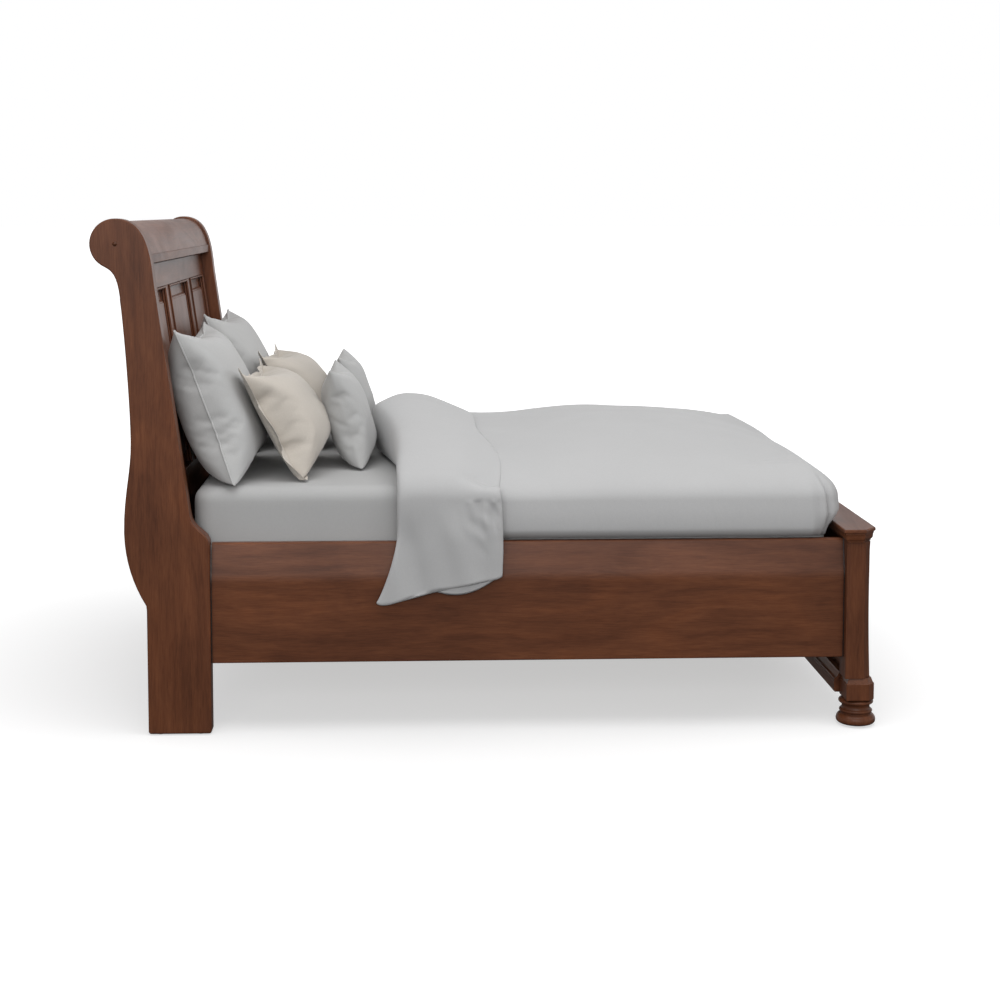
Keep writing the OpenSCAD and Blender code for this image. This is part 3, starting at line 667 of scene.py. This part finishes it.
def make_fitted_sheet(materials):
    """Sheet stretched over the mattress, open underneath."""
    low, high = np.array(MATTRESS_LOW), np.array(MATTRESS_HIGH)
    margin, drop = 0.0015, 0.25
    start = low + np.array([margin, margin, 0.001])
    end = high - np.array([margin, margin, 0.0])
    block = rounded_block(start, end, 0.06, 0.046, 0.014, bulge=0.001)
    rings = [pull_corners(ring, low, high) for ring in block]
    points, faces = closed_loft(rings, close_ends=False)
    middle = len(points)
    points.append(rings[-1].mean(0))
    n = len(rings[-1])
    last = middle - n
    faces += [[middle, last + i, last + (i + 1) % n] for i in range(n)]
    sheet = new_piece("fitted_sheet", points, faces, materials["sheet"])
    thick = sheet.modifiers.new("thickness", "SOLIDIFY")
    thick.thickness = 0.0009
    thick.offset = -1
    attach(sheet, "mattress")


def pull_corners(ring, low, high):
    """A ring of the fitted sheet with soft creases by its corners, where its cloth is gathered."""
    out = ring.copy()
    for k, p in enumerate(ring):
        gap = math.hypot(min(p[0] - low[0], high[0] - p[0]), min(p[1] - low[1], high[1] - p[1]))
        near = math.exp(-(gap / 0.11) ** 2)
        drop = float(smoothstep(high[2] - 0.02, low[2] + 0.06, p[2]))
        wave = noise.noise(Vector((p[0] * 22, p[1] * 22, p[2] * 5)))
        inward = np.array([math.copysign(1, (low[0] + high[0]) / 2 - p[0]),
                           math.copysign(1, (low[1] + high[1]) / 2 - p[1]), 0]) * 0.7
        out[k] = p + inward * near * drop * (0.0012 + 0.0022 * max(wave, -0.4))
        out[k][2] += 0.0006 * noise.noise(Vector((p[0] * 3, p[1] * 3, 2.0)))
    return out


# ---------- duvet ----------

SIDE = HALF_WIDTH + 0.037        # the body's sides
FOOT = DUVET_HIGH.x + 0.024      # its foot end
CORNER = 0.11                    # radius of its foot corners in plan
HEM = RAIL_TOP + 0.005           # its lower edge
HEAD = DUVET_LOW.x               # the turned-back band's head-side edge
BAND_WIDTH = 0.364               # its width along the bed's middle
FLAP = DUVET_HIGH.y              # outer and inner faces of its hanging ends
FLAP_INSIDE = RAIL_OUTSIDE + 0.006
SHOULDER = SLEEP_TOP - 0.03      # height at which the band starts to hang
LIP_HEIGHT = 0.62                # share of the band's height at which its foot-side edge lies


def crown_height(x):
    """Height of the duvet along its middle: a dip behind the turned-back end, then full."""
    thickness, rise = 0.124, 0.030
    return SLEEP_TOP + thickness + rise * smoothstep(0.05, 0.42, x)


def edge_distance(x, y):
    """How far a point of the plan is inside the duvet's rounded outline, open towards the head."""
    qx, qy = x - (FOOT - CORNER), np.abs(y) - (SIDE - CORNER)
    blend = 0.30
    h = np.clip(0.5 + 0.5 * (qx - qy) / blend, 0, 1)
    inner = qy + (qx - qy) * h + blend * h * (1 - h)
    outer = np.hypot(np.maximum(qx, 0), np.maximum(qy, 0))
    return CORNER - outer - np.minimum(inner, 0)


def duvet_height(x, y):
    """Puffed top: steep at the outline, nearly flat in the middle and a little lower towards the sides."""
    t = np.clip(edge_distance(x, y) / SIDE, 0, 1)
    shoulder = SLEEP_TOP - 0.050
    side_drop = 0.016 * (y / SIDE) ** 2
    fullness = (1 - (1 - t) ** 2.25) ** (1 / 2.1)
    return shoulder + (crown_height(x) - shoulder - side_drop) * fullness


def body_grid(inner):
    """Points of the duvet's upper or under side, as a flat sheet bent over the mattress on three sides.

    core runs over the flat middle, and reach goes from 0 to 1 round the bend and from 1 to 2 down to the hem.
    """
    wide, long, bend, skirt = 69, 86, 14, 12
    down = np.concatenate([np.linspace(0, 1, bend + 1), np.linspace(1, 2, skirt + 1)[1:]])
    side_reach = np.concatenate([-down[::-1], np.zeros(wide - 2), down])
    edge = np.ones(len(down))
    side_core = np.concatenate([-edge, np.linspace(-1, 1, wide)[1:-1], edge])
    end_reach = np.concatenate([np.zeros(long), down[1:]])
    end_core = np.concatenate([np.linspace(0, 1, long), np.ones(len(down) - 1)])
    start = HEAD + 0.17
    side, foot, corner = SIDE, FOOT, CORNER
    if inner:
        gap = 0.003
        side, foot, corner = HALF_WIDTH + gap, MATTRESS_HIGH.x + gap, 0.06
    rows = []
    for core, reach in zip(end_core, end_reach):
        x0 = start + (foot - corner - start) * core
        y0 = (side - corner) * side_core
        far = np.maximum(np.abs(side_reach), reach)
        length = np.hypot(side_reach, reach)
        length[length == 0] = 1
        out = corner * np.sin(np.minimum(far, 1) * math.pi / 2)
        x = x0 + out * reach / length
        y = y0 + out * side_reach / length
        fall = np.clip(far - 1, 0, 1)
        if inner:
            top = SLEEP_TOP + gap - 0.02 * smoothstep(0.8, 1.0, far)
        else:
            inside = 1e-4
            top = duvet_height(np.minimum(x, FOOT - inside), np.clip(y, inside - SIDE, SIDE - inside))
        z = top + (HEM - top) * fall
        if not inner:
            tuck = 0.022 * smoothstep(0.80, 1.0, fall)
            foot_tuck = 0.040 * smoothstep(0.30, 0.85, fall)
            puff = 0.005 * np.sin(math.pi * fall)
            x = x + (puff - foot_tuck) * reach / length * (fall > 0)
            y = y + (puff - tuck) * side_reach / length * (fall > 0)
        rows.append(np.column_stack([x, y, z]))
    return np.array(rows)


def grid_faces(rows, columns, start, flip):
    """Quads over a grid of points whose first has the index start, turned over if flip is true."""
    faces = []
    for j in range(rows - 1):
        for i in range(columns - 1):
            a = start + j * columns + i
            quad = [a, a + 1, a + columns + 1, a + columns]
            faces.append(quad[::-1] if flip else quad)
    return faces


def duvet_body():
    """Closed shell of the duvet where it covers the mattress."""
    top, under = body_grid(False), body_grid(True)
    rows, columns = top.shape[:2]
    offset = rows * columns
    upper = top.reshape(-1, 3)
    up = ripple(upper, 0.010, 2.2, 4.0)
    upper[:, 2] += up * smoothstep(SLEEP_TOP - 0.02, SLEEP_TOP + 0.08, upper[:, 2])
    upper = upper + corner_folds(upper)
    points = list(upper) + list(under.reshape(-1, 3))
    faces = grid_faces(rows, columns, 0, False) + grid_faces(rows, columns, offset, True)
    border = list(range(columns)) + [j * columns + columns - 1 for j in range(1, rows)]
    border += [(rows - 1) * columns + i for i in range(columns - 2, -1, -1)]
    border += [j * columns for j in range(rows - 2, 0, -1)]
    for a, b in zip(border, border[1:] + border[:1]):
        faces.append([b, a, a + offset, b + offset])
    return points, faces


def corner_folds(points):
    """Upright folds where the duvet is gathered round its two foot corners."""
    x, y, z = points.T
    angle = np.arctan2(x - (FOOT - CORNER), np.abs(y) - (SIDE - CORNER))
    near = np.exp(-((angle - math.pi / 4) / 0.62) ** 2) * (x > FOOT - CORNER - 0.05)
    low = smoothstep(SLEEP_TOP + 0.07, SLEEP_TOP - 0.03, z)
    gathers = 0.005 * np.cos(angle * 13.0) - 0.003
    crease = -0.017 * np.exp(-((angle - 0.62) / 0.07) ** 2)
    ridge = 0.007 * np.exp(-((angle - 0.80) / 0.10) ** 2)
    amount = near * low * (gathers + crease + ridge)
    return np.column_stack([amount * np.sin(angle), amount * np.cos(angle) * np.sign(y), np.zeros(len(x))])


def band_edges(y, z, sign):
    """Head-side and foot-side edges of the turned-back band at the distance y on the side sign, height z."""
    across = math.pi / 2 * np.clip(y / (HALF_WIDTH - 0.02), 0, 1)
    flare = np.clip((RAIL_TOP + 0.030 - z) / 0.22, 0, 1)
    head = HEAD - 0.007 + 0.096 * np.sin(across) - 0.070 * flare ** 1.5
    if sign < 0:
        spread = 0.064 * smoothstep(0.22, 0.66, y) - 0.014 * smoothstep(0.66, FLAP, y)
    else:
        spread = 0.050 * smoothstep(0.55, FLAP, y) - 0.042 * smoothstep(0.05, 0.45, y)
    sway = 0.008 * np.sin((SLEEP_TOP - z) * 9.0)
    return head, HEAD + BAND_WIDTH + spread + sway


# Each point of a section is a share across the band and a share of its height or thickness, round from its
# under side: TOP_SECTION on the bed and SIDE_SECTION where it hangs.
TOP_SECTION = [
    (0.30, 0.02), (0.10, 0.00), (0.03, 0.12), (-0.005, 0.40), (-0.008, 0.70), (0.03, 0.89), (0.11, 0.975),
    (0.24, 1.005), (0.40, 0.995), (0.55, 0.95), (0.68, 0.885), (0.79, 0.815), (0.90, 0.735), (0.985, 0.665),
    (1.0, LIP_HEIGHT), (0.97, 0.57), (0.70, 0.38)]
SIDE_SECTION = [
    (0.30, 0.0), (0.07, 0.0), (0.02, 0.12), (0.0, 0.38), (0.004, 0.66), (0.03, 0.90), (0.10, 1.0),
    (0.24, 1.03), (0.40, 1.0), (0.58, 0.94), (0.74, 0.96), (0.90, 0.98), (0.985, 0.80), (1.0, 0.5),
    (0.985, 0.20), (0.70, 0.0)]


def band_hem(x):
    """Height of the lower edge of the turned-back end: low at the head side, rising towards the foot."""
    t = np.clip((x - HEAD) / (FLAP * 0.5), 0, 1)
    head_corner = 0.016 * np.exp(-np.abs(x - HEAD - 0.02) / 0.016)
    foot_corner = 0.012 * np.exp(-np.abs(x - HEAD - 0.42) / 0.012)
    slope = 0.058 * smoothstep(0.0, 0.55, t) + 0.030 * smoothstep(0.5, 1.0, t)
    return DUVET_LOW.z - 0.010 + slope + head_corner + foot_corner


def band_over_bed(along, sign, top_section, side_section):
    """One ring of the band on the bed, along from 0 at its middle to 1 at a shoulder."""
    fold_top = DUVET_HIGH.z - 0.012
    turn = along * math.pi / 2
    out_y = FLAP * math.sin(turn) ** 0.97
    out_z = SHOULDER + (fold_top - SHOULDER) * max(math.cos(turn), 0) ** 0.92
    side = float(smoothstep(0.62, 1.0, along))
    section = top_section * (1 - side) + side_section * side
    share = np.clip(section[:, 0], -0.02, 1.0)

    core_y = HALF_WIDTH - 0.02
    in_y = min(out_y, core_y) + max(0, along - 0.8) * 5 * (RAIL_OUTSIDE + 0.004 - core_y)
    in_z = SLEEP_TOP + 0.006
    in_z = in_z + (out_z - in_z) * side
    head, foot = band_edges(out_y, out_z, sign)
    x = head + (foot - head) * share
    y = in_y + (out_y - in_y) * section[:, 1]
    z = in_z + (out_z - in_z) * section[:, 1]
    lip = in_z + (out_z - in_z) * LIP_HEIGHT
    z = z + (duvet_height(foot, out_y) + 0.004 - lip) * smoothstep(0.5, 1.0, share) * (1 - side)
    return np.column_stack([x, sign * y, z])


def band_hanging(fall, sign, side_section):
    """One ring of the band outside a rail, fall from 0 at the shoulder to 1 at the hem."""
    share = np.clip(side_section[:, 0], -0.02, 1.0)
    head, foot = band_edges(FLAP, SHOULDER, sign)
    z = SHOULDER + (band_hem(head + (foot - head) * share) - SHOULDER) * fall
    head, foot = band_edges(FLAP, z, sign)
    x = head + (foot - head) * share
    z = SHOULDER + (band_hem(x) - SHOULDER) * fall
    thin = 1 - 0.35 * smoothstep(0.3, 1.0, fall)
    y = FLAP_INSIDE + (FLAP - FLAP_INSIDE) * side_section[:, 1] * thin
    return np.column_stack([x, sign * y, z])


def duvet_band():
    """The head end turned back over the duvet and hanging down outside both rails."""
    samples, hang_rings, bed_rings = 112, 44, 110
    top_section, side_section = closed_spline(TOP_SECTION, samples), closed_spline(SIDE_SECTION, samples)
    stations = np.concatenate([
        np.linspace(-1, -0.5, hang_rings, endpoint=False),
        np.linspace(-0.5, 0.5, bed_rings, endpoint=False),
        np.linspace(0.5, 1, hang_rings + 1)])
    rings = []
    for station in stations:
        sign = math.copysign(1, station)
        along = min(abs(station) * 2, 1)
        fall = max(abs(station) * 2 - 1, 0)
        if fall == 0:
            ring = band_over_bed(along, sign, top_section, side_section)
        else:
            ring = band_hanging(fall, sign, side_section)
        rings.append(hang_folds(ring, sign, fall))
    first = [close_hem(rings[0], share) for share in (0.75, 0.35)]
    last = [close_hem(rings[-1], share) for share in (0.35, 0.75)]
    return closed_loft(first + rings + last)


def close_hem(ring, share):
    """One of a hem's last rings, drawn in towards its middle so that the edge is round."""
    middle_y = (ring[:, 1].min() + ring[:, 1].max()) / 2
    out = ring.copy()
    out[:, 1] += (middle_y - out[:, 1]) * share
    out[:, 2] -= 0.006 * math.sqrt(share)
    return out


def hang_folds(ring, sign, fall):
    """Long upright folds and short creases where the band hangs, and a slight unevenness on the bed."""
    if fall == 0:
        lift = np.array([0.004 * noise.noise(Vector((x * 7, y * 3, 1.7))) for x, y, _ in ring])
        ring[:, 2] += lift * (ring[:, 2] > SLEEP_TOP + 0.05)
        return ring
    amount = float(smoothstep(0.0, 0.5, fall))
    for k, p in enumerate(ring):
        x, _, z = p
        drop = SLEEP_TOP - z
        long_fold = noise.noise(Vector((x * 11 + z * 2.6, sign * 3.0, z * 1.3)))
        crease = noise.noise(Vector((x * 34 + z * 20, sign * 5.0, z * 11 - x * 9)))
        by_edge = math.exp(-((x + 0.01) / 0.055) ** 2 - ((drop - 0.07) / 0.10) ** 2)
        by_head = math.exp(-((x - HEAD - 0.14) / 0.05) ** 2 - ((drop - 0.10) / 0.16) ** 2)
        ring[k, 1] += sign * (amount * (0.020 * long_fold - 0.014 * by_head) + 0.019 * by_edge * crease)
    return ring


def duvet_lining():
    """The duvet's under layer, which shows below the hem of the turned-back end."""
    outline = [(0.0, 0.0), (0.04, 0.8), (0.3, 1.0), (0.7, 1.0), (0.96, 0.8),
               (1.0, 0.0), (0.96, -0.8), (0.7, -1.0), (0.3, -1.0), (0.04, -0.8)]
    start, width, half_thick = HEAD + 0.17, 0.245, 0.0055
    top = RAIL_TOP - 0.02
    parts = []
    for sign in (-1, 1):
        rings = []
        for fall in np.linspace(0, 1, 22):
            ring = []
            for share, half in closed_spline(outline, 60):
                x = start + width * share
                scallop = 0.034 * math.sin(math.pi * min(max(share, 0), 1))
                hem = DUVET_LOW.z + 0.052 - scallop + 0.035 * share ** 2
                z = top + (hem - top) * fall
                wave = 0.002 * noise.noise(Vector((x * 14, sign, z * 5)))
                ring.append((x, sign * (RAIL_OUTSIDE + 0.010 + half_thick * half + wave), z))
            rings.append(np.array(ring))
        parts.append(closed_loft(rings[::sign]))
    return join_parts(parts)


def make_duvet(materials):
    """The whole duvet as one piece: its body, the turned-back band and the lining below the band."""
    points, faces = join_parts([duvet_body(), duvet_band(), duvet_lining()])
    obj = new_piece("duvet_quilt", points, faces, materials["duvet"])
    finish_padded(obj, "duvet")


# ---------- frame finishes ----------

# The starts of the names of nodes by their finish; the grain of the rest of the stained wood runs along Z.
GRAIN_X = ("side_rail",)
GRAIN_Y = ("headboard_roll", "crest_moulding", "headboard_top_rail", "headboard_mid_rail",
           "headboard_lower_panel", "headboard_bottom_rail", "footboard_cap", "footboard_cove",
           "footboard_top_rail", "footboard_bottom_rail", "footboard_base_rail")
PINE_X = ("ledger", "centre_beam")
DARK_METAL = ("rail_hook_plates", "post_slot_plates")
METAL = ("plate_screws", "ledger_screws", "slat_screws", "centre_beam_brackets")


def finish_frame(materials):
    """Gives every CAD node its own finish, with the grain along the board."""
    for name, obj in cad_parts.items():
        if name in DARK_METAL:
            material = materials["dark_steel"]
        elif name in METAL:
            material = materials["steel"]
        elif name.endswith("glides"):
            material = materials["plastic"]
        elif name == "slats":
            material = materials["pine_y"]
        elif name.startswith(PINE_X):
            material = materials["pine_x"]
        elif name == "roll_plugs":
            material = materials["plug"]
        elif name.startswith(GRAIN_X):
            material = materials["wood_x"]
        elif name.startswith(GRAIN_Y):
            material = materials["wood_y"]
        else:
            material = materials["wood_z"]
        for k in range(len(obj.material_slots)):
            obj.material_slots[k].material = material


# cut is the flat case, size the finished pillow before it leans, tilt its lean in degrees on the left and on
# the right, and back the fullness of its back, where 1 is as full as its front.
PILLOWS = {
    "sham": dict(
        cut=(0.80, 0.60), size=(0.735, 0.530, 0.235), frames=12, tilt=(20, 20), skew=0.034,
        edge="piping", back=1.0, material="sham", slot="sham_cloth", fill=0.85),
    "flanged_pillow": dict(
        cut=(0.72, 0.49), size=(0.625, 0.395, 0.185), frames=12, tilt=(28, 28), skew=0.045,
        edge="flange", back=0.35, material="beige", slot="beige_cloth", fill=0.75),
    "small_pillow": dict(
        cut=(0.48, 0.42), size=(0.43, 0.372, 0.155), frames=11, tilt=(17, 13), skew=0.0,
        edge="plain", back=1.0, material="pillow", slot="pillow_cloth", fill=0.8),
}


def main():
    make_camera()
    make_studio()
    materials = {
        "wood_x": stained_wood("cherry_along_x", 0),
        "wood_y": stained_wood("cherry_along_y", 1),
        "wood_z": stained_wood("cherry_along_z", 2),
        "plug": stained_wood("cherry_plug", 0, 0.6),
        "pine_x": plain_wood("pine_along_x", 0, (0.56, 0.40, 0.22), (0.40, 0.26, 0.13)),
        "pine_y": plain_wood("pine_along_y", 1, (0.60, 0.44, 0.25), (0.44, 0.29, 0.15)),
        "steel": steel("zinc_steel", 1.0),
        "dark_steel": steel("blackened_steel", 0.16),
        "plastic": moulded_plastic("glide_plastic"),
        "ticking": cloth("ticking", (0.62, 0.61, 0.58), 1.1, 0.05, 0.15, 0.0006, (0.72, 0.74, 0.80)),
        "sheet": cloth("sheet_cotton", (0.40, 0.40, 0.397), 0.8, 0.02, 0.15, 0.0010),
        "duvet": cloth("duvet_cotton", (0.445, 0.445, 0.445), 0.8, 0.02, 0.2, 0.0016),
        "sham": cloth("sham_cotton", (0.44, 0.44, 0.435), 0.9, 0.03, 0.2, 0.0022),
        "beige": cloth("beige_linen", (0.49, 0.45, 0.40), 1.3, 0.05, 0.2, 0.0018),
        "pillow": cloth("pillow_cotton", (0.41, 0.41, 0.405), 0.9, 0.02, 0.2, 0.0016),
    }
    finish_frame(materials)
    make_box_spring(materials)
    make_mattress(materials)
    make_fitted_sheet(materials)
    make_duvet(materials)
    for k, (kind, style) in enumerate(PILLOWS.items()):
        for j, side in enumerate(("left", "right")):
            material = materials[style["material"]]
            make_pillow(f"{kind}_{side}", style, style["tilt"][j], material, 10 * k + 3 * j)


main()
